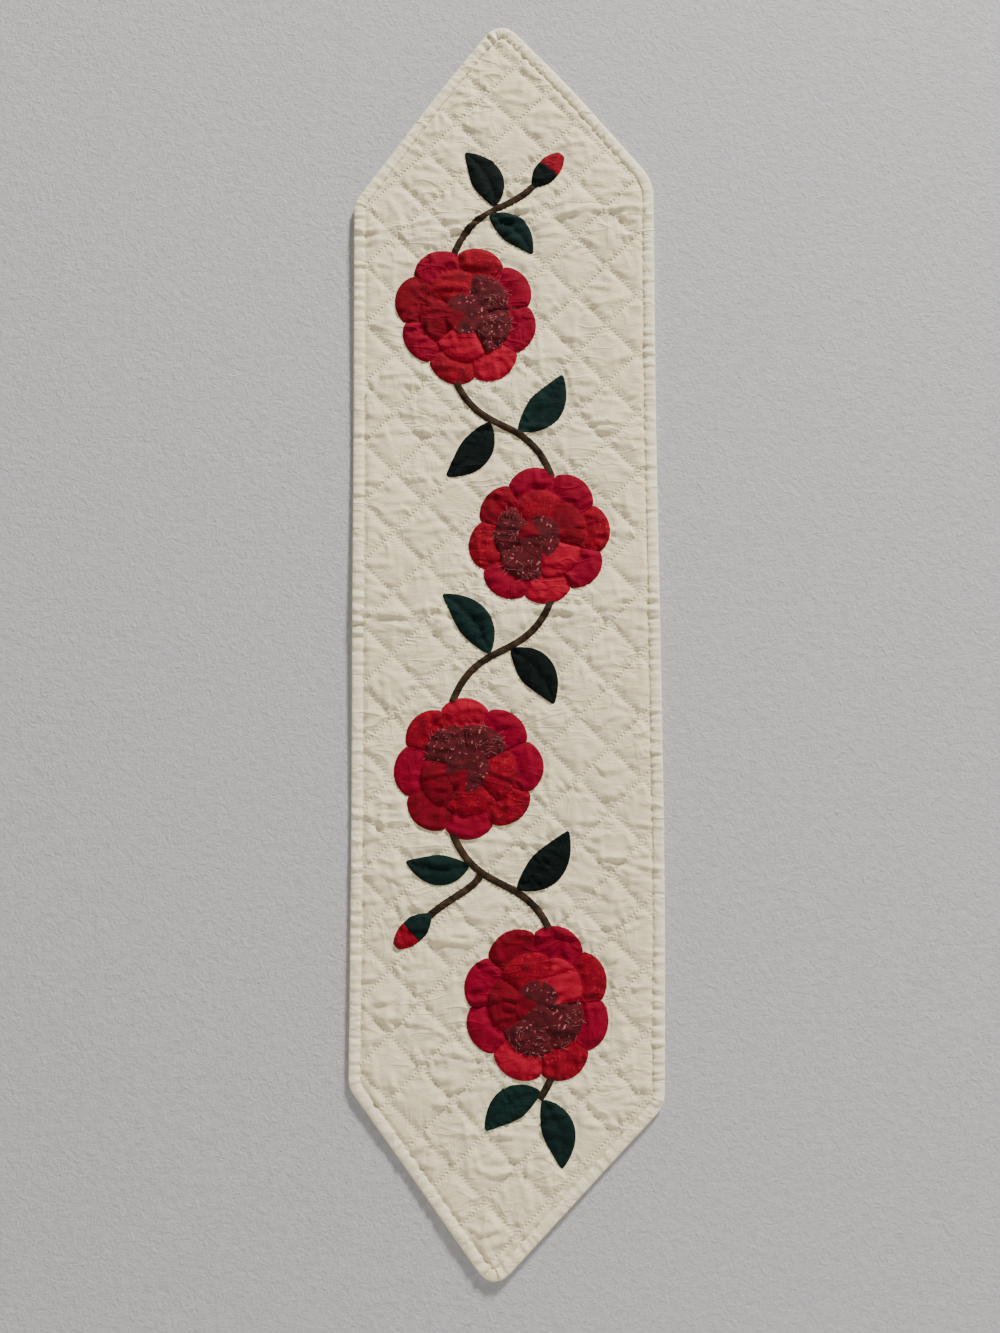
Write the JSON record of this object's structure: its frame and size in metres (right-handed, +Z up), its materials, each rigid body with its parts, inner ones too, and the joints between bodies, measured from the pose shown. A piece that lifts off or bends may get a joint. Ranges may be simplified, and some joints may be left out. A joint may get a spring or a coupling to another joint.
{
  "type": "quilted wall hanging",
  "caption": "Long narrow quilted wall hanging with pointed ends, a bound edge and appliqued roses on a meandering vine, hung by its upper point.",
  "frame": {"origin": "highest edge of the upper point, on the wall plane behind the cloth", "axes": "+Z up along the length, +X to the right seen from the front, -Y out from the wall towards the viewer"},
  "size_m": [0.2722, 0.007, 1.0992],
  "materials": {
    "cream_cotton": "matte woven cotton",
    "binding_cotton": "matte woven cotton",
    "crimson_cotton": "matte woven cotton",
    "scarlet_cotton": "matte woven cotton",
    "maroon_cotton": "matte woven cotton",
    "leaf_cotton": "matte woven cotton",
    "stem_cotton": "matte woven cotton"
  },
  "bodies": {
    "root": {"quilted_ground": "cream_cotton", "edge_binding": "binding_cotton", "rose_1_outer_petals": "crimson_cotton", "rose_1_inner_petals": "scarlet_cotton", "rose_1_heart": "maroon_cotton", "rose_2_outer_petals": "crimson_cotton", "rose_2_inner_petals": "scarlet_cotton", "rose_2_heart": "maroon_cotton", "rose_3_outer_petals": "crimson_cotton", "rose_3_inner_petals": "scarlet_cotton", "rose_3_heart": "maroon_cotton", "rose_4_outer_petals": "crimson_cotton", "rose_4_inner_petals": "scarlet_cotton", "rose_4_heart": "maroon_cotton", "leaf_01": "leaf_cotton", "leaf_02": "leaf_cotton", "leaf_03": "leaf_cotton", "leaf_04": "leaf_cotton", "leaf_05": "leaf_cotton", "leaf_06": "leaf_cotton", "leaf_07": "leaf_cotton", "leaf_08": "leaf_cotton", "leaf_09": "leaf_cotton", "leaf_10": "leaf_cotton", "vine_1": "stem_cotton", "vine_2": "stem_cotton", "vine_3": "stem_cotton", "vine_4": "stem_cotton", "vine_5": "stem_cotton", "bud_stalk": "stem_cotton", "bud_1_calyx": "leaf_cotton", "bud_1_petals": "scarlet_cotton", "bud_2_calyx": "leaf_cotton", "bud_2_petals": "scarlet_cotton"}
  },
  "joints": []
}
